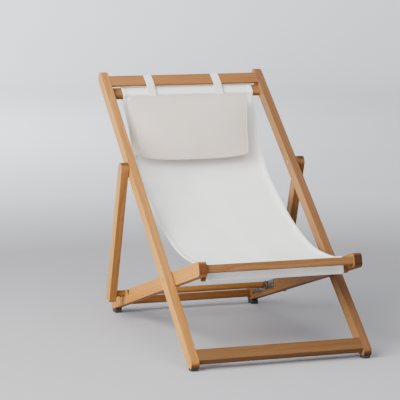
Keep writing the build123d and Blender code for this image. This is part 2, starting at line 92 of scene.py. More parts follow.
class Nodes:
    """Small wrapper that adds and links shader nodes."""

    def __init__(self, name):
        self.material = bpy.data.materials.new(name)
        self.material.use_nodes = True
        self.tree = self.material.node_tree
        self.tree.nodes.clear()
        self.shader = self.add("ShaderNodeBsdfPrincipled")
        output = self.add("ShaderNodeOutputMaterial")
        self.link(self.shader.outputs[0], output.inputs["Surface"])

    def add(self, kind, **props):
        """New node of a kind, with its properties set."""
        made = self.tree.nodes.new(kind)
        for key, value in props.items():
            setattr(made, key, value)
        return made

    def link(self, source, target):
        """Join an output to an input."""
        self.tree.links.new(source, target)

    def put(self, target, value):
        """Set a socket to a number, a tuple or another node's output."""
        if isinstance(value, bpy.types.NodeSocket):
            self.link(value, target)
        else:
            target.default_value = value

    def math(self, operation, a, b=0.0, c=0.0):
        """Result of a math node."""
        made = self.add("ShaderNodeMath", operation=operation)
        for socket, value in zip(made.inputs, (a, b, c)):
            self.put(socket, value)
        return made.outputs[0]

    def mapping(self, vector, location=(0, 0, 0), rotation=(0, 0, 0), scale=(1, 1, 1)):
        """The vector moved, turned and scaled."""
        made = self.add("ShaderNodeMapping")
        self.put(made.inputs["Vector"], vector)
        made.inputs["Location"].default_value = location
        made.inputs["Rotation"].default_value = rotation
        made.inputs["Scale"].default_value = scale
        return made.outputs[0]

    def noise(self, vector, scale, detail=2.0, roughness=0.5):
        """Noise from 0 to 1 at a vector."""
        made = self.add("ShaderNodeTexNoise")
        self.put(made.inputs["Vector"], vector)
        made.inputs["Scale"].default_value = scale
        made.inputs["Detail"].default_value = detail
        made.inputs["Roughness"].default_value = roughness
        return made.outputs["Fac"]

    def ramp(self, factor, stops):
        """Colour from a list of (place, colour) stops."""
        made = self.add("ShaderNodeValToRGB")
        self.put(made.inputs[0], factor)
        elements = made.color_ramp.elements
        while len(elements) < len(stops):
            elements.new(0.5)
        for element, (place, colour) in zip(elements, stops):
            element.position = place
            element.color = (*colour, 1.0)
        return made.outputs["Color"]

    def mix(self, factor, a, b, blend="MIX"):
        """Mix of two colours."""
        made = self.add("ShaderNodeMix", data_type="RGBA", blend_type=blend)
        self.put(made.inputs["Factor"], factor)
        for name, value in (("A", a), ("B", b)):
            socket = [s for s in made.inputs if s.name == name and s.type == "RGBA"][0]
            self.put(socket, (*value, 1.0) if isinstance(value, tuple) else value)
        return [s for s in made.outputs if s.type == "RGBA"][0]

    def spread(self, value, low, high):
        """Map 0..1 onto low..high."""
        made = self.add("ShaderNodeMapRange")
        self.put(made.inputs["Value"], value)
        made.inputs["To Min"].default_value = low
        made.inputs["To Max"].default_value = high
        return made.outputs[0]

    def bump(self, height, strength, distance):
        """Relief on the shader's normal; distance in metres."""
        made = self.add("ShaderNodeBump")
        made.inputs["Strength"].default_value = strength
        made.inputs["Distance"].default_value = distance
        self.put(made.inputs["Height"], height)
        self.link(made.outputs[0], self.shader.inputs["Normal"])

    def colour(self, value):
        """Set the base colour."""
        self.put(self.shader.inputs["Base Color"], value)

    def rough(self, value):
        """Set the roughness."""
        self.put(self.shader.inputs["Roughness"], value)


# ---- materials -------------------------------------------------------------------------------

WOOD_DARK = (0.27, 0.110, 0.015)
WOOD_MID = (0.42, 0.195, 0.033)
WOOD_LIGHT = (0.55, 0.285, 0.062)
NARROW_FACE_PAINTED_SHADE = (0.63, 0.58, 0.70)   # painted shade: the narrow faces are darker than the flanks, standing in for faces turned away from the side light
END_GRAIN_AND_PAINTED_SHADE = (0.36, 0.31, 0.34)   # the end grain darker still: it takes more oil, and this is also painted shade standing in for the shade in the notches
PORE_SHADE = 0.55                # an open pore beside the darkest wood round it
RING_SHARE, STREAK_SHARE, BAND_SHARE, BROAD_SHARE = 0.26, 0.30, 0.34, 0.34


def wood(name, turn, grain_way, seed, tone):
    """Oiled timber whose grain runs along local Y after the given turn, as solid 3-D rings.

    The pith's place comes from the seed. The grain_way is the grain's direction in the frame, which
    finds the ends, and the tone multiplies the three wood colours.
    """
    m = Nodes(name)
    rng = random.Random(seed)
    place = m.add("ShaderNodeTexCoord").outputs["Object"]
    offset = (rng.uniform(0.03, 0.09), rng.uniform(-2, 2), rng.uniform(0.04, 0.12))
    grain = m.mapping(place, offset, turn)
    sway = m.noise(m.mapping(grain, scale=(1.0, 0.18, 1.0)), 9.0, 2.0)
    bend = m.add("ShaderNodeVectorMath", operation="MULTIPLY_ADD")
    m.link(sway, bend.inputs[0])
    bend.inputs[1].default_value = (0.055, 0.0, 0.055)
    m.link(grain, bend.inputs[2])
    rings = m.add("ShaderNodeTexWave", wave_type="RINGS", rings_direction="Y", wave_profile="SAW")
    m.link(bend.outputs[0], rings.inputs["Vector"])
    rings.inputs["Scale"].default_value = 42.0
    rings.inputs["Distortion"].default_value = 1.1
    rings.inputs["Detail"].default_value = 2.0
    rings.inputs["Detail Scale"].default_value = 1.2
    streaks = m.noise(m.mapping(grain, scale=(1.0, 0.03, 1.0)), 420.0, 4.0, 0.62)
    bands = m.noise(m.mapping(grain, scale=(1.0, 0.05, 1.0)), 55.0, 2.0)
    broad = m.noise(m.mapping(grain, scale=(1.0, 0.12, 1.0)), 14.0, 1.0)
    pores = m.noise(m.mapping(grain, scale=(1.0, 0.045, 1.0)), 1500.0, 1.0, 0.4)
    value = m.math("MULTIPLY", rings.outputs["Fac"], RING_SHARE)
    for layer, share in ((streaks, STREAK_SHARE), (bands, BAND_SHARE), (broad, BROAD_SHARE)):
        value = m.math("MULTIPLY_ADD", layer, share, value)
    shade = [tuple(c * t for c, t in zip(colour, tone))
             for colour in (WOOD_DARK, WOOD_MID, WOOD_LIGHT)]
    base = m.ramp(value, [(0.30, shade[0]), (0.56, shade[1]), (0.86, shade[2])])
    pore_mask = m.ramp(pores, [(0.30, (1, 1, 1)), (0.38, (0, 0, 0))])
    pore_fade = m.math("MULTIPLY", pore_mask, 0.35)
    flank = m.mix(pore_fade, base, tuple(c * PORE_SHADE for c in shade[0]))
    normal = m.add("ShaderNodeTexCoord").outputs["Normal"]
    facing = m.add("ShaderNodeVectorMath", operation="DOT_PRODUCT")
    m.link(normal, facing.inputs[0])
    facing.inputs[1].default_value = grain_way
    # end faces: darker end grain, partly real and partly painted shade
    ends = m.ramp(m.math("ABSOLUTE", facing.outputs["Value"]),
                  [(0.62, (0, 0, 0)), (0.92, (1, 1, 1))])
    # painted shade on the narrow faces: every face not turned sideways is darkened
    across = m.add("ShaderNodeSeparateXYZ")
    m.link(normal, across.inputs[0])
    flanks = m.ramp(m.math("ABSOLUTE", across.outputs[0]), [(0.55, (0, 0, 0)), (0.95, (1, 1, 1))])
    timber = m.mix(flanks, m.mix(1.0, flank, NARROW_FACE_PAINTED_SHADE, "MULTIPLY"), flank)
    m.colour(m.mix(ends, timber, m.mix(1.0, timber, END_GRAIN_AND_PAINTED_SHADE, "MULTIPLY")))
    m.rough(m.spread(streaks, 0.50, 0.68))
    height = m.math("MULTIPLY_ADD", pore_mask, -0.8, streaks)
    m.bump(height, 0.22, 0.0004)
    m.shader.inputs["Specular IOR Level"].default_value = 0.2
    m.shader.inputs["Coat Weight"].default_value = 0.02
    m.shader.inputs["Coat Roughness"].default_value = 0.3
    return m.material


WORN_TINT = (0.97, 0.955, 0.93)   # faint soiling, beside the cloth's own tint


def cloth(name, tint, thread, sheen, stripe=0.0):
    """Woven cloth on UV coordinates in metres: plain weave, slubs, faint soiling and sheen.

    The thread is the pitch of the weave and the stripe that of a webbing's ribs, in metres.
    """
    m = Nodes(name)
    uv = m.add("ShaderNodeTexCoord").outputs["UV"]
    split = m.add("ShaderNodeSeparateXYZ")
    m.link(uv, split.inputs[0])
    turns = 2 * math.pi / thread
    across = m.math("SINE", m.math("MULTIPLY", split.outputs[0], turns))
    along = m.math("SINE", m.math("MULTIPLY", split.outputs[1], turns))
    weave = m.math("MULTIPLY", across, along)
    warp = m.math("ABSOLUTE", m.math("SINE", m.math("MULTIPLY", split.outputs[0], turns / 2)))
    weft = m.math("ABSOLUTE", m.math("SINE", m.math("MULTIPLY", split.outputs[1], turns / 2)))
    over = m.math("GREATER_THAN", weave, 0.0)
    lift = m.add("ShaderNodeMix", data_type="FLOAT")
    m.link(over, lift.inputs[0])
    m.link(warp, lift.inputs[2])
    m.link(weft, lift.inputs[3])
    surface = lift.outputs[0]
    slub_a = m.noise(m.mapping(uv, scale=(900, 30, 1)), 1.0, 2.0)
    slub_b = m.noise(m.mapping(uv, location=(3, 1, 0), scale=(30, 900, 1)), 1.0, 2.0)
    slubs = m.math("ADD", slub_a, slub_b)
    cloud = m.noise(m.mapping(uv, scale=(9, 7, 1)), 1.0, 4.0, 0.55)
    soft = m.math("MULTIPLY_ADD", surface, 0.10, 0.86)
    soft = m.math("MULTIPLY_ADD", slubs, 0.05, soft)
    soft = m.math("MULTIPLY_ADD", cloud, 0.07, soft)
    if stripe:
        ribs = m.math("SINE", m.math("MULTIPLY", split.outputs[0], math.pi / stripe))
        rib = m.math("ABSOLUTE", ribs)
        surface = m.math("MULTIPLY_ADD", rib, 1.5, surface)
        soft = m.math("MULTIPLY_ADD", rib, 0.07, m.math("SUBTRACT", soft, 0.05))
    warm = m.ramp(cloud, [(0.30, tuple(c * f for c, f in zip(tint, WORN_TINT))), (0.72, tint)])
    tone = m.add("ShaderNodeCombineColor")
    for socket in tone.inputs[:3]:
        m.link(soft, socket)
    m.colour(m.mix(1.0, warm, tone.outputs[0], "MULTIPLY"))
    m.rough(m.spread(slubs, 0.86, 0.96))
    m.bump(m.math("MULTIPLY_ADD", slubs, 0.5, surface), 0.42, 0.00045)
    m.shader.inputs["Sheen Weight"].default_value = sheen
    m.shader.inputs["Sheen Roughness"].default_value = 0.5
    m.shader.inputs["Specular IOR Level"].default_value = 0.25
    return m.material


def steel(name, dark, bright):
    """Plated steel with a faint spangle and dull patches."""
    m = Nodes(name)
    place = m.add("ShaderNodeTexCoord").outputs["Object"]
    spangle = m.noise(place, 900.0, 2.0)
    dull = m.noise(place, 160.0, 3.0)
    m.colour(m.ramp(m.math("MULTIPLY_ADD", spangle, 0.5, m.math("MULTIPLY", dull, 0.5)),
                    [(0.3, dark), (0.7, bright)]))
    m.shader.inputs["Metallic"].default_value = 1.0
    m.rough(m.spread(dull, 0.28, 0.52))
    m.bump(spangle, 0.12, 0.0002)
    return m.material


def rubber(name):
    """Matte black rubber with a fine moulded texture and a dusty bloom."""
    m = Nodes(name)
    place = m.add("ShaderNodeTexCoord").outputs["Object"]
    speck = m.noise(place, 1800.0, 2.0)
    dust = m.noise(place, 90.0, 4.0)
    m.colour(m.ramp(dust, [(0.35, (0.012, 0.012, 0.013)), (0.75, (0.045, 0.043, 0.041))]))
    m.rough(m.spread(dust, 0.62, 0.86))
    m.bump(speck, 0.35, 0.0003)
    return m.material


def paper_floor(name, near, far):
    """Plain pale paper that lightens with its distance from the origin."""
    m = Nodes(name)
    place = m.add("ShaderNodeTexCoord").outputs["Object"]
    cloud = m.noise(place, 1.3, 3.0)
    reach = m.add("ShaderNodeVectorMath", operation="LENGTH")
    m.link(place, reach.inputs[0])
    rise = m.ramp(m.math("MULTIPLY", reach.outputs["Value"], 0.2), [(0.33, near), (0.62, far)])
    mottle = m.ramp(cloud, [(0.3, (0.97, 0.97, 0.97)), (0.7, (1, 1, 1))])
    m.colour(m.mix(1.0, rise, mottle, "MULTIPLY"))
    m.rough(0.85)
    return m.material


def dress(node, material):
    """Give a carried-over CAD node a material."""
    thing = frame["nodes"][node]
    if thing.material_slots:
        for place in thing.material_slots:
            place.material = material
    else:
        thing.data.materials.append(material)


def turned(degrees):
    """Turn about X that lays the grain of a rail at this slope along local Y."""
    return (math.radians(-degrees), 0.0, 0.0)


BACK_GRAIN, SEAT_GRAIN, PROP_GRAIN = ((turned(angle), (0.0, *heading(angle)))
                                      for angle in (BACK_ANGLE, -SEAT_ANGLE, PROP_ANGLE))
CROSS_GRAIN = ((0.0, 0.0, math.radians(90)), (1.0, 0.0, 0.0))
PLUG_GRAIN = ((0.0, math.radians(90), 0.0), (0.0, 0.0, 1.0))

# each timber's grain (its turn and direction) and its colour beside the common one; the darker
# colours of the right-hand rails and strut, the bottom bar and the rear stretcher are painted
# shade, for the side away from the light and the shade low under the chair
TIMBER = {
    "back_rail_left": (BACK_GRAIN, (1.06, 1.04, 1.0)),
    "back_rail_right": (BACK_GRAIN, (0.56, 0.56, 0.88)),
    "seat_rail_left": (SEAT_GRAIN, (1.02, 0.90, 0.75)),
    "seat_rail_right": (SEAT_GRAIN, (0.52, 0.48, 0.66)),
    "prop_strut_left": (PROP_GRAIN, (0.98, 1.0, 1.2)),
    "prop_strut_right": (PROP_GRAIN, (0.60, 0.60, 0.85)),
    "top_plank": (CROSS_GRAIN, (0.86, 0.80, 1.0)),
    "top_sling_bar": (CROSS_GRAIN, (0.78, 0.76, 0.9)),
    "bottom_bar": (CROSS_GRAIN, (0.46, 0.47, 0.66)),
    "front_plank": (CROSS_GRAIN, (0.74, 0.78, 1.2)),
    "front_sling_bar": (CROSS_GRAIN, (0.70, 0.66, 0.8)),
    "rear_stretcher": (CROSS_GRAIN, (0.56, 0.50, 0.6)),
    "prop_dowel": (CROSS_GRAIN, (0.96, 0.92, 0.95)),
}
FIRST_WOOD_SEED = 20
PLUG_WOOD_SEED = 55
for order, (node, (grain, tone)) in enumerate(TIMBER.items()):
    dress(node, wood("timber_" + node, *grain, FIRST_WOOD_SEED + order, tone))

OTHER_PIECES = (
    (wood("timber_plugs", *PLUG_GRAIN, PLUG_WOOD_SEED, (0.76, 0.72, 0.9)),
     ("back_plugs", "seat_plugs", "main_pivot_plugs", "prop_pivot_plugs")),
    (steel("zinc_steel", (0.34, 0.34, 0.33), (0.62, 0.62, 0.60)),
     ("back_screws", "seat_screws", "main_pivot_bolts", "main_pivot_washers", "main_pivot_nuts",
      "prop_pivot_bolts", "prop_pivot_washers", "prop_pivot_nuts", "front_pad_nails",
      "rear_pad_nails", "notch_plate_screws")),
    # notch plates: dark steel whose near-black to bright mottle is partly painted shade and painted
    # highlights for the notches
    (steel("dark_steel_and_painted_shade", (0.035, 0.030, 0.027), (0.42, 0.40, 0.38)),
     ("notch_plate_left", "notch_plate_right")),
    (rubber("black_rubber"),
     ("front_foot_pad_left", "front_foot_pad_right", "rear_foot_pad_left", "rear_foot_pad_right")),
)
for material, nodes in OTHER_PIECES:
    for node in nodes:
        dress(node, material)

CANVAS = cloth("canvas", (0.84, 0.84, 0.835), 0.0011, 0.08)
PILLOW_CLOTH = cloth("pillow_cloth", (0.61, 0.54, 0.48), 0.0010, 0.08)
WEBBING = cloth("webbing", (0.74, 0.735, 0.71), 0.0014, 0.10, stripe=0.0032)
PIPING = cloth("piping", (0.70, 0.645, 0.59), 0.0008, 0.08)
THREAD = cloth("thread", (0.70, 0.68, 0.64), 0.0004, 0.10)


# ---- mesh helpers ----------------------------------------------------------------------------


def make_object(name, points, faces, material, uvs=None):
    """New smooth-shaded mesh object; uvs is one (u, v) for each vertex, in metres."""
    mesh = bpy.data.meshes.new(name)
    mesh.from_pydata(points, [], faces)
    if uvs is not None:
        layer = mesh.uv_layers.new(name="UVMap")
        for loop in mesh.loops:
            layer.data[loop.index].uv = uvs[loop.vertex_index]
    mesh.polygons.foreach_set("use_smooth", [True] * len(mesh.polygons))
    mesh.materials.append(material)
    mesh.update()
    thing = bpy.data.objects.new(name, mesh)
    bpy.context.scene.collection.objects.link(thing)
    return thing


SPLINE_STEPS = 24


def smooth_path(points, step):
    """Catmull-Rom line through 2-D points, at an even step; returns points and lengths."""
    dense = []
    padded = [points[0]] + list(points) + [points[-1]]
    for i in range(1, len(padded) - 2):
        a, b, c, d = padded[i - 1:i + 3]
        for k in range(SPLINE_STEPS):
            t = k / SPLINE_STEPS
            dense.append(tuple(
                0.5 * (2 * b[n] + (c[n] - a[n]) * t
                       + (2 * a[n] - 5 * b[n] + 4 * c[n] - d[n]) * t * t
                       + (3 * b[n] - a[n] - 3 * c[n] + d[n]) * t ** 3) for n in (0, 1)))
    dense.append(points[-1])
    lengths = [0.0]
    for a, b in zip(dense, dense[1:]):
        lengths.append(lengths[-1] + math.dist(a, b))
    count = max(2, round(lengths[-1] / step))
    out = []
    at = 0
    for i in range(count + 1):
        want = lengths[-1] * i / count
        while at < len(lengths) - 2 and lengths[at + 1] < want:
            at += 1
        span = lengths[at + 1] - lengths[at] or 1.0
        t = (want - lengths[at]) / span
        out.append(tuple(dense[at][n] + (dense[at + 1][n] - dense[at][n]) * t for n in (0, 1)))
    return out, [lengths[-1] * i / count for i in range(count + 1)]


def normals_of(path):
    """Unit normal at each point of a 2-D path, to the left of its direction."""
    out = []
    for i in range(len(path)):
        a, b = path[max(0, i - 1)], path[min(len(path) - 1, i + 1)]
        size = math.dist(a, b) or 1.0
        out.append((-(b[1] - a[1]) / size, (b[0] - a[0]) / size))
    return out


def ease(t):
    """Smooth step from 0 to 1."""
    t = min(1.0, max(0.0, t))
    return t * t * (3 - 2 * t)


# ---- sling -----------------------------------------------------------------------------------

CLOTH_HALF = 0.0007      # half the cloth's thickness, and at the doubled hem
HEM_HALF = 0.0012
HEM = 0.011
SLING_STEP = 0.0055      # mesh spacing along the cut
SLING_COLUMNS = 44       # and columns between the hems
SLEEVE_GAP = 1.3         # cloth centre line off a bar, in millimetres
BAR_ROUND = 7.0          # corner radius of a sling bar, in millimetres
TOP_BAR = ((766.0, 806.0), (-16.0, 4.0))      # along and above, from the main pivot
FRONT_BAR = ((188.0, 208.0), (-30.0, 16.0))
# the cloth's side curve between the bars, top first: millimetres behind the toe and up
HANG = ((864, 633), (833, 588), (801, 532), (772, 488), (731, 450), (652, 404), (545, 349),
        (456, 314), (364, 287.5), (290, 275.5), (208, 273.5), (150, 278))


def arc(place, centre, radius, start, end, steps=5):
    """Points round a corner of a bar, in that bar's side frame."""
    return [place(centre[0] + radius * math.cos(math.radians(start + (end - start) * i / steps)),
                  centre[1] + radius * math.sin(math.radians(start + (end - start) * i / steps)))
            for i in range(steps + 1)]


def sling_path():
    """Whole cut of the cloth: rear flap, round the top bar, the hang, round the front bar, flap."""
    r = BAR_ROUND
    wrap = r + SLEEVE_GAP
    (low, high), (under, over) = TOP_BAR
    path = [back(733.0, -29.4), back(748.5, -21.0)]
    path += arc(back, (low + r, under + r), wrap, 250, 270)
    path += arc(back, (high - r, under + r), wrap, 270, 360)
    path += arc(back, (high - r, over - r), wrap, 0, 90)
    path += arc(back, (low + r, over - r), wrap, 90, 195)
    path += [back(750.5, -16.5), back(736.0, -25.2)]
    path += [(TOE + y * MM, z * MM) for y, z in HANG]
    (low, high), (under, over) = FRONT_BAR
    path += [seat(178.0, 17.4)]
    path += arc(seat, (low + r, over - r), wrap, 110, 90, 2)
    path += arc(seat, (high - r, over - r), wrap, 90, 0)
    path += arc(seat, (high - r, under + r), wrap, 0, -90)
    path += arc(seat, (low + r, under + r), wrap, -90, -180)
    path += [seat(186.5, -4.0), seat(184.6, 6.0), seat(181.0, 12.0), seat(174.0, 15.2),
             seat(165.0, 17.0), seat(154.0, 19.1)]
    return path


SLING_LINE, SLING_RUN = smooth_path(sling_path(), SLING_STEP)
SLING_NORMAL = normals_of(SLING_LINE)
SLING_LENGTH = SLING_RUN[-1]


def run_index(shares, point):
    """Index of the place nearest a point, among those between two shares of the cut."""
    first, last = (int(len(SLING_LINE) * share) for share in shares)
    return min(range(first, last), key=lambda i: math.dist(SLING_LINE[i], point))


TOP_SEAM = run_index((0.12, 0.5), back(744.0, -20.5))
FRONT_SEAM = run_index((0.5, 0.92), seat(171.0, 18.4))


TOP_HALF_WIDTH = 0.2175
NARROWING = 0.0105       # of the half width, from the top to the front
TOP_SHIFT = 0.004        # the cloth hangs a little to one side at the top
SHIFT_BACK = 0.007       # and crosses to the other side by the front


def sling_half_width(run):
    """Half the cloth's width at a place along its cut."""
    return TOP_HALF_WIDTH - NARROWING * ease(run / SLING_LENGTH)


def sling_middle(run):
    """Where the cloth's middle lies, side to side."""
    return TOP_SHIFT - SHIFT_BACK * ease(run / SLING_LENGTH)


def sling_lift(x, run):
    """How far the cloth stands off its side curve: a sag between the hems, ripples and pulls."""
    share = (run - SLING_RUN[TOP_SEAM]) / (SLING_RUN[FRONT_SEAM] - SLING_RUN[TOP_SEAM])
    inside = ease(share / 0.10) * ease((1 - share) / 0.10)
    across = x / sling_half_width(run)
    sag = 0.0045 * inside * (1 - across * across)
    edge = 0.0022 * inside * ease((abs(across) - 0.86) / 0.14)
    wave = math.sin(31 * x + 3.1 * run + 0.7) + 0.6 * math.sin(53 * x - 5.0 * run)
    ripple = 0.0009 * inside * wave
    near = math.exp(-((share - 0.03) / 0.05) ** 2) + math.exp(-((share - 0.97) / 0.05) ** 2)
    pulls = 0.0006 * near * (math.sin(118 * x + 0.4) + 0.7 * math.sin(197 * x + 1.9))
    return sag - edge + ripple + (pulls if 0 < share < 1 else 0)


def sling_point(x, i, off):
    """Place on the sling: x across, i along the cut, off from the cloth's middle surface."""
    y, z = SLING_LINE[i]
    ny, nz = SLING_NORMAL[i]
    lift = sling_lift(x, SLING_RUN[i]) + off
    return (x + sling_middle(SLING_RUN[i]), y + ny * lift, z + nz * lift)


def build_sling():
    """The sheet as one thin closed mesh with doubled hems."""
    stations = []
    for run in SLING_RUN:
        half = sling_half_width(run)
        body = half - HEM
        row = [(-half, 0.35), (-half + 0.0008, 1.0), (-body - 0.0006, 1.0), (-body, 0.0)]
        row += [(-body + 2 * body * k / SLING_COLUMNS, 0.0) for k in range(1, SLING_COLUMNS)]
        row += [(body, 0.0), (body + 0.0006, 1.0), (half - 0.0008, 1.0), (half, 0.35)]
        stations.append(row)
    wide = len(stations[0])
    points, uvs = [], []
    for side in (1, -1):
        for i, row in enumerate(stations):
            for x, hem in row:
                thick = CLOTH_HALF + (HEM_HALF - CLOTH_HALF) * hem
                points.append(sling_point(x, i, side * thick))
                uvs.append((x, SLING_RUN[i]))
    tall = len(stations)
    layer = wide * tall
    faces = []
    for i in range(tall - 1):
        for k in range(wide - 1):
            a = i * wide + k
            quad = (a, a + 1, a + wide + 1, a + wide)
            faces.append(quad)
            faces.append(tuple(v + layer for v in reversed(quad)))
    for i in range(tall - 1):
        for k, flip in ((0, False), (wide - 1, True)):
            a = i * wide + k
            quad = (a, a + wide, a + wide + layer, a + layer)
            faces.append(tuple(reversed(quad)) if flip else quad)
    for k in range(wide - 1):
        for i, flip in ((0, True), (tall - 1, False)):
            a = i * wide + k
            quad = (a, a + 1, a + 1 + layer, a + layer)
            faces.append(quad if not flip else tuple(reversed(quad)))
    return make_object("sling_cloth", points, faces, CANVAS, uvs)


STITCH_LENGTH = 0.0033
STITCH_WIDTH = 0.0008
STITCH_PITCH = 0.0046
STITCH_SIDES = 6
STITCH_OFF = 0.0001      # how far a stitch's middle stands off the cloth
HEM_STITCH_IN = 0.0022   # the hem's stitch row from the hem's inner edge
# a stitch's rings, as shares of its length, width and rise
STITCH_RINGS = ((-0.5, 0.0, 0.0), (-0.30, 0.9, 0.45), (0.30, 0.9, 0.45), (0.5, 0.0, 0.0))


def stitch(points, faces, uvs, centre, direction, normal):
    """Add one raised stitch to a growing mesh."""
    side = direction.cross(normal).normalized()
    base = len(points)
    length, width, sides = STITCH_LENGTH, STITCH_WIDTH, STITCH_SIDES
    for along, wide, high in STITCH_RINGS:
        for turn in range(sides):
            angle = math.pi * 2 * turn / sides
            offset = (direction * (along * length) + side * (math.cos(angle) * wide * width / 2)
                      + normal * (math.sin(angle) * wide * width / 2 + high * width * 0.3))
            points.append(tuple(centre + offset))
            uvs.append((along * length, angle * width))
    for ring in range(len(STITCH_RINGS) - 1):
        for turn in range(sides):
            a = base + ring * sides + turn
            b = base + ring * sides + (turn + 1) % sides
            faces.append((a, b, b + sides, a + sides))


def build_stitches():
    """Stitch rows along both hems on both faces of the cloth, and across both sleeve seams on one
    face.
    """
    points, faces, uvs = [], [], []
    for edge in (-1, 1):
        for side in (1, -1):
            run = SLING_RUN[TOP_SEAM]
            while run < SLING_RUN[FRONT_SEAM]:
                i = min(range(TOP_SEAM, FRONT_SEAM), key=lambda n: abs(SLING_RUN[n] - run))
                x = edge * (sling_half_width(SLING_RUN[i]) - HEM + HEM_STITCH_IN)
                off = side * (HEM_HALF + STITCH_OFF)
                here, ahead = (Vector(sling_point(x, n, off)) for n in (i, i + 1))
                along = (ahead - here).normalized()
                here = here + along * (run - SLING_RUN[i])
                normal = Vector((0, *SLING_NORMAL[i])) * side
                stitch(points, faces, uvs, here, along, normal)
                run += STITCH_PITCH
    for index in (TOP_SEAM, TOP_SEAM + 1, FRONT_SEAM, FRONT_SEAM - 1):
        half = sling_half_width(SLING_RUN[index]) - 0.004
        count = int(2 * half / STITCH_PITCH)
        for k in range(count):
            x = -half + 2 * half * k / count
            here, ahead = (Vector(sling_point(place, index, CLOTH_HALF + STITCH_OFF))
                           for place in (x, x + 0.001))
            normal = Vector((0, *SLING_NORMAL[index]))
            stitch(points, faces, uvs, here, (ahead - here).normalized(), normal)
    return make_object("sling_stitches", points, faces, THREAD, uvs)


SLING = build_sling()
STITCHES = build_stitches()
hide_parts("sling")
for piece in (SLING, STITCHES):
    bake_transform(piece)


# ---- pillow ----------------------------------------------------------------------------------

PILLOW_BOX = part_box("pillow")
PILLOW_X = (PILLOW_BOX[0][0] + PILLOW_BOX[1][0]) / 2
PILLOW_TURN = 65.16      # slope of its face, in degrees
PILLOW_LOW = (TOE + 0.729, 0.509)      # (y, z) of its face's lower edge
PILLOW_SIZE = (0.374, 0.2072, 0.050)   # across, up its face and thick
PILLOW_CROWN = 0.0125    # how far stuffing lifts the middle of a panel off its seams
GUSSET_SHARE = 0.45      # the narrow gusset swells less than the panels
SETTLING = 0.30          # the stuffing has settled: fuller below the middle, thinner above it
SEAM_DEPTH = PILLOW_SIZE[2] / 2 - PILLOW_CROWN + 0.0015
PILLOW_CORNER = 0.014
PILLOW_UP = heading(PILLOW_TURN)
PILLOW_OUT = heading(PILLOW_TURN + 90)


def pillow_place(a, b, c):
    """Local (across, up its face, towards the sitter), from the pillow's middle, to the frame."""
    mid_up = PILLOW_SIZE[1] / 2
    y, z = (PILLOW_LOW[n] + PILLOW_UP[n] * (mid_up + b) + PILLOW_OUT[n] * (c - PILLOW_SIZE[2] / 2)
            for n in (0, 1))
    return Vector((PILLOW_X + a, y, z))


def panel_point(u, v, front):
    """A place on a sewn panel, whose sides pull in between its corners; u, v and front run 0 to 1.

    The front panel hangs lower than the rear one and is cut smaller towards its lower corners.
    """
    side, rise = 2 * u - 1, 2 * v - 1
    tuck = 0.0025 * (1 - rise * rise)
    turn_in = front * (1 - v) ** 1.3
    left, right = -0.198 + tuck + 0.018 * turn_in, 0.174 + 0.016 * v - tuck - 0.006 * turn_in
    bottom = 0.002 + 0.017 * (1 - front) + 0.012 * abs(side) ** 3.5
    top = PILLOW_SIZE[1] + 0.016 * (1 - front) + 0.002 * side * side
    return left + (right - left) * u, bottom + (top - bottom) * v - PILLOW_SIZE[1] / 2


def rounded_share(u, v):
    """Ease the corners of the unit square to the panel's corner radius."""
    hx, hy = PILLOW_SIZE[0] / 2, PILLOW_SIZE[1] / 2
    x, y = (2 * u - 1) * hx, (2 * v - 1) * hy
    dx, dy = abs(x) - (hx - PILLOW_CORNER), abs(y) - (hy - PILLOW_CORNER)
    if dx > 0 and dy > 0:
        keep = max(dx, dy) / math.hypot(dx, dy)
        x = math.copysign(hx - PILLOW_CORNER + dx * keep, x)
        y = math.copysign(hy - PILLOW_CORNER + dy * keep, y)
    return x / hx / 2 + 0.5, y / hy / 2 + 0.5


PILLOW_GRID = (92, 52, 9)   # mesh cells across, up and through the gusset


def pillow_blank():
    """Sewn cover before stuffing: two panels and a gusset, as a grid with its two seam loops."""
    nx, ny, nz = PILLOW_GRID
    index = {}
    points, faces = [], []

    def vertex(i, j, k):
        key = (i, j, k)
        if key not in index:
            index[key] = len(points)
            a, b = panel_point(*rounded_share(i / nx, j / ny), k / nz)
            points.append((a, b, SEAM_DEPTH * (2 * k / nz - 1)))
        return index[key]

    def cell(*corners):
        faces.append([vertex(*corner) for corner in corners])

    for i in range(nx):
        for j in range(ny):
            cell((i, j, nz), (i + 1, j, nz), (i + 1, j + 1, nz), (i, j + 1, nz))
            cell((i, j, 0), (i, j + 1, 0), (i + 1, j + 1, 0), (i + 1, j, 0))
    for k in range(nz):
        for i in range(nx):
            cell((i, 0, k), (i + 1, 0, k), (i + 1, 0, k + 1), (i, 0, k + 1))
            cell((i, ny, k), (i, ny, k + 1), (i + 1, ny, k + 1), (i + 1, ny, k))
        for j in range(ny):
            cell((0, j, k), (0, j, k + 1), (0, j + 1, k + 1), (0, j + 1, k))
            cell((nx, j, k), (nx, j + 1, k), (nx, j + 1, k + 1), (nx, j, k + 1))
    loops = []
    for k in (nz, 0):
        ring = [(i, 0) for i in range(nx)] + [(nx, j) for j in range(ny)]
        ring += [(i, ny) for i in range(nx, 0, -1)] + [(0, j) for j in range(ny, 0, -1)]
        loops.append([index[(i, j, k)] for i, j in ring])
    return points, faces, loops


STUFFING_FRAMES = 20


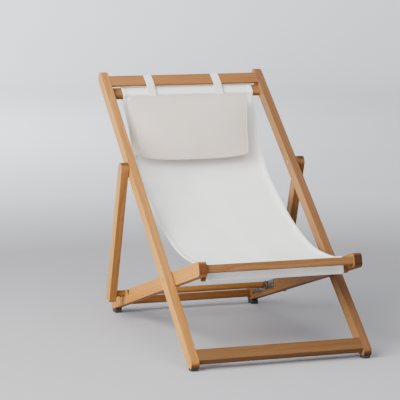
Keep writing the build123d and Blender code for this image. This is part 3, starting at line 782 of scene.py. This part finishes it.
def stuff(thing, rest, loops):
    """Inflate the cover between its seams with Cloth; returns how far each point travelled."""
    pinned = thing.vertex_groups.new(name="seams")
    pinned.add([i for loop in loops for i in loop], 1.0, "REPLACE")
    bpy.context.view_layer.objects.active = thing
    cloth_mod = thing.modifiers.new("stuffing", "CLOTH")
    settings = cloth_mod.settings
    settings.quality = 6
    settings.mass = 0.25
    settings.tension_stiffness = 22
    settings.compression_stiffness = 22
    settings.shear_stiffness = 12
    settings.bending_stiffness = 0.6
    settings.vertex_group_mass = "seams"
    settings.use_pressure = True
    settings.uniform_pressure_force = 4.0
    settings.effector_weights.gravity = 0.0
    cloth_mod.point_cache.frame_start = 1
    cloth_mod.point_cache.frame_end = STUFFING_FRAMES
    for step in range(1, STUFFING_FRAMES + 1):
        bpy.context.scene.frame_set(step)
    evaluated = thing.evaluated_get(bpy.context.evaluated_depsgraph_get())
    travels = [Vector(v.co) - Vector(start) for v, start in zip(evaluated.data.vertices, rest)]
    thing.modifiers.remove(cloth_mod)
    thing.vertex_groups.clear()
    bpy.context.scene.frame_set(1)
    return travels


def on_panel(p):
    """Whether a point of the unstuffed cover is on a panel and not on the gusset."""
    return abs(p[2]) > SEAM_DEPTH * 0.99


def pucker(p):
    """Small gathers of the cover beside its seams, and slow unevenness of the stuffing."""
    hx, hy = PILLOW_SIZE[0] / 2, PILLOW_SIZE[1] / 2
    from_side, from_end = hx - abs(p[0]), hy - abs(p[1])
    reach = max(0.0, min(from_side, from_end)) if on_panel(p) else SEAM_DEPTH - abs(p[2])
    run = p[1] if from_side < from_end else p[0]
    gather = 0.00075 * math.exp(-((reach - 0.004) / 0.007) ** 2)
    gather *= math.sin(340 * run + 1.7 * math.sin(47 * run + 1) + 0.8)
    slow = 0.0010 * ease(reach / 0.05) * math.sin(19 * p[0] + 8 * p[1] + 1.2)
    slow *= math.sin(27 * p[1] - 6 * p[0] + 0.5)
    if on_panel(p):
        return Vector((0, 0, math.copysign(gather + slow, p[2])))
    if from_side < from_end:
        return Vector((math.copysign(gather, p[0]), 0, 0))
    return Vector((0, math.copysign(gather, p[1]), 0))


def build_pillow():
    """The stuffed cover in local coordinates, and its two seam loops."""
    points, faces, loops = pillow_blank()
    thing = make_object("pillow_cover", points, faces, PILLOW_CLOTH)
    travels = stuff(thing, points, loops)
    gain = PILLOW_CROWN / max(travel.z for travel in travels)
    for vertex, start, travel in zip(thing.data.vertices, points, travels):
        low = 1.0 - SETTLING * start[1] / (PILLOW_SIZE[1] / 2)
        share = 1.0 if on_panel(start) else GUSSET_SHARE
        vertex.co = Vector(start) + travel * (gain * low * share) + pucker(start)
    return thing, loops


def finish_pillow(thing, loops):
    """UVs in metres by facing, one subdivision, then into place; returns the seam lines."""
    seams = [[thing.data.vertices[i].co.copy() for i in loop] for loop in loops]
    layer = thing.data.uv_layers.new(name="UVMap")
    for face in thing.data.polygons:
        normal = face.normal
        axis = max(range(3), key=lambda n: abs(normal[n]))
        pick = [n for n in range(3) if n != axis]
        for loop in face.loop_indices:
            co = thing.data.vertices[thing.data.loops[loop].vertex_index].co
            layer.data[loop].uv = (co[pick[0]] + 0.3, co[pick[1]] + 0.3)
    smoother = thing.modifiers.new("smooth", "SUBSURF")
    smoother.levels = 1
    smoother.render_levels = 1
    bpy.context.view_layer.objects.active = thing
    bpy.ops.object.modifier_apply(modifier="smooth")
    for vertex in thing.data.vertices:
        vertex.co = pillow_place(*vertex.co)
    thing.data.update()
    return [[pillow_place(*p) for p in seam] for seam in seams]


WELT_RADIUS = 0.0010
WELT_SIDES = 8


def welt(name, line):
    """Thin closed piping along a seam."""
    points, faces, uvs = [], [], []
    count, sides = len(line), WELT_SIDES
    centre = sum(line, Vector()) / count
    run = 0.0
    for i, p in enumerate(line):
        forward = (line[(i + 1) % count] - line[i - 1]).normalized()
        outward = (p - centre).normalized()
        side = forward.cross(outward).normalized()
        outward = side.cross(forward).normalized()
        for k in range(sides):
            angle = math.pi * 2 * k / sides
            points.append(tuple(p + outward * (math.cos(angle) * WELT_RADIUS)
                                + side * (math.sin(angle) * WELT_RADIUS)))
            uvs.append((run, angle * WELT_RADIUS))
        run += (line[(i + 1) % count] - p).length
    for i in range(count):
        here, ahead = i * sides, (i + 1) % count * sides
        for k in range(sides):
            beside = (k + 1) % sides
            faces.append((here + k, here + beside, ahead + beside, ahead + k))
    return make_object(name, points, faces, PIPING, uvs)


PILLOW, PILLOW_LOOPS = build_pillow()
SEAMS = finish_pillow(PILLOW, PILLOW_LOOPS)
WELTS = [welt("pillow_seam_front", SEAMS[0]), welt("pillow_seam_rear", SEAMS[1])]
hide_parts("pillow")
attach(PILLOW, "back_frame")
for piece in WELTS:
    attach(piece, "back_frame")


# ---- straps ----------------------------------------------------------------------------------

STRAP_HALF = 0.013       # half the webbing's width
STRAP_THICK = 0.0007     # half its thickness
STRAP_LEAN = -0.003      # sideways, from the pillow to the plank
STRAP_RISE = 0.075       # height over which it leans
# one webbing loop from the pillow's rear top edge over the plank and back down: along and above
STRAP_LINE = ((729.0, 10.5), (745.0, 10.0), (766.0, 10.2), (784.0, 13.5), (797.0, 19.2),
              (806.0, 20.2), (825.0, 20.3), (838.0, 20.1), (843.0, 19.3), (844.4, 16.5),
              (844.4, 13.0), (843.0, 10.4), (838.0, 9.8), (825.0, 9.8), (806.0, 9.4),
              (790.0, 8.4), (770.0, 7.6), (745.0, 7.6), (729.0, 8.4))


def build_strap(name, centre):
    """Flat webbing with rounded edges along the strap's line, leaning a little sideways."""
    line, run = smooth_path([back(*place) for place in STRAP_LINE], 0.003)
    normal = normals_of(line)
    section = [(-STRAP_HALF, 0.0), (-STRAP_HALF + 0.0004, STRAP_THICK * 0.9)]
    section += [(-STRAP_HALF + 0.001 + (2 * STRAP_HALF - 0.002) * k / 10, STRAP_THICK)
                for k in range(11)]
    section += [(STRAP_HALF - 0.0004, STRAP_THICK * 0.9), (STRAP_HALF, 0.0)]
    under = [(x, -h) for x, h in reversed(section[1:-1])]
    ring = section + under
    points, uvs, faces = [], [], []
    for i, (y, z) in enumerate(line):
        climb = (z - line[0][1]) / STRAP_RISE
        for x, h in ring:
            points.append((centre + STRAP_LEAN * climb + x,
                           y + normal[i][0] * h, z + normal[i][1] * h))
            uvs.append((x, run[i]))
    wide = len(ring)
    for i in range(len(line) - 1):
        for k in range(wide):
            a, b = i * wide + k, i * wide + (k + 1) % wide
            faces.append((a, b, b + wide, a + wide))
    faces.append(tuple(reversed(range(wide))))
    faces.append(tuple(range((len(line) - 1) * wide, len(line) * wide)))
    return make_object(name, points, faces, WEBBING, uvs)


for word in ("left", "right"):
    low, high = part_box("pillow_strap_" + word)
    strap = build_strap("strap_" + word, (low[0] + high[0]) / 2)
    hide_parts("pillow_strap_" + word)
    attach(strap, "back_frame")

# ---- floor, light and camera -----------------------------------------------------------------


FLOOR_RADIUS = 9.0
FLOOR_CURVE = 1.6        # radius of the sweep from the floor up into the wall
WALL_TOP = 3.0


def build_stage():
    """Round pale floor that curves up into a plain wall a long way off on every side."""
    turns = 72
    sweep = [math.radians(a) for a in range(0, 91, 6)]
    profile = [(0.02, 0.0), (2.0, 0.0), (5.0, 0.0)]
    profile += [(FLOOR_RADIUS + FLOOR_CURVE * math.sin(a), FLOOR_CURVE - FLOOR_CURVE * math.cos(a))
                for a in sweep]
    profile.append((FLOOR_RADIUS + FLOOR_CURVE, WALL_TOP))
    points, faces = [], []
    for r, z in profile:
        for k in range(turns):
            angle = math.pi * 2 * k / turns
            points.append((r * math.cos(angle), r * math.sin(angle), z))
    for i in range(len(profile) - 1):
        for k in range(turns):
            a, b = i * turns + k, i * turns + (k + 1) % turns
            faces.append((a, a + turns, b + turns, b))
    faces.append(tuple(range(turns)))
    return make_object("studio_floor", points, faces, PAPER)


PAPER = paper_floor("studio_paper", (0.40, 0.39, 0.41), (0.80, 0.81, 0.84))
build_stage()


def area_light(name, place, target, size, power, colour):
    """Rectangular lamp that faces a target and stays out of the picture."""
    data = bpy.data.lights.new(name, "AREA")
    data.shape = "RECTANGLE"
    data.size, data.size_y = size
    data.energy = power
    data.color = colour
    lamp = bpy.data.objects.new(name, data)
    bpy.context.scene.collection.objects.link(lamp)
    lamp.location = place
    lamp.visible_camera = False
    lamp.rotation_euler = (Vector(target) - Vector(place)).to_track_quat("-Z", "Y").to_euler()


area_light("key", (-3.6, -1.7, 2.5), (0, 0, 0.35), (4.2, 3.0), 620.0, (1.0, 0.985, 0.96))
area_light("fill", (0.6, -3.4, 3.6), (0, 0, 0.4), (3.0, 2.4), 80.0, (0.97, 0.98, 1.0))
area_light("top", (-0.4, 0.2, 4.0), (0, 0, 0.3), (3.0, 3.0), 90.0, (0.90, 0.95, 1.0))
area_light("backdrop_wash", (-2.2, 6.0, 3.6), (-1.2, 8.6, 0.8), (4.0, 3.0), 790.0,
           (0.93, 0.96, 1.0))
WORLD_COLOUR = (0.86, 0.89, 0.94, 1.0)
WORLD_STRENGTH = 0.24
world = bpy.data.worlds.new("studio")
bpy.context.scene.world = world
world.use_nodes = True
background = world.node_tree.nodes["Background"]
background.inputs["Color"].default_value = WORLD_COLOUR
background.inputs["Strength"].default_value = WORLD_STRENGTH

CAMERA_PLACE = (-1.8582, -5.2913, 1.1945)
CAMERA_DOWN = 8.0        # degrees below level
CAMERA_TURN = -18.5      # degrees round the vertical
camera_data = bpy.data.cameras.new("camera")
camera_data.lens = 169.0
camera_data.sensor_width = 36.0
camera_data.clip_end = 60.0
camera = bpy.data.objects.new("camera", camera_data)
bpy.context.scene.collection.objects.link(camera)
camera.location = CAMERA_PLACE
camera.rotation_euler = (math.radians(90 - CAMERA_DOWN), 0.0, math.radians(CAMERA_TURN))
bpy.context.scene.camera = camera
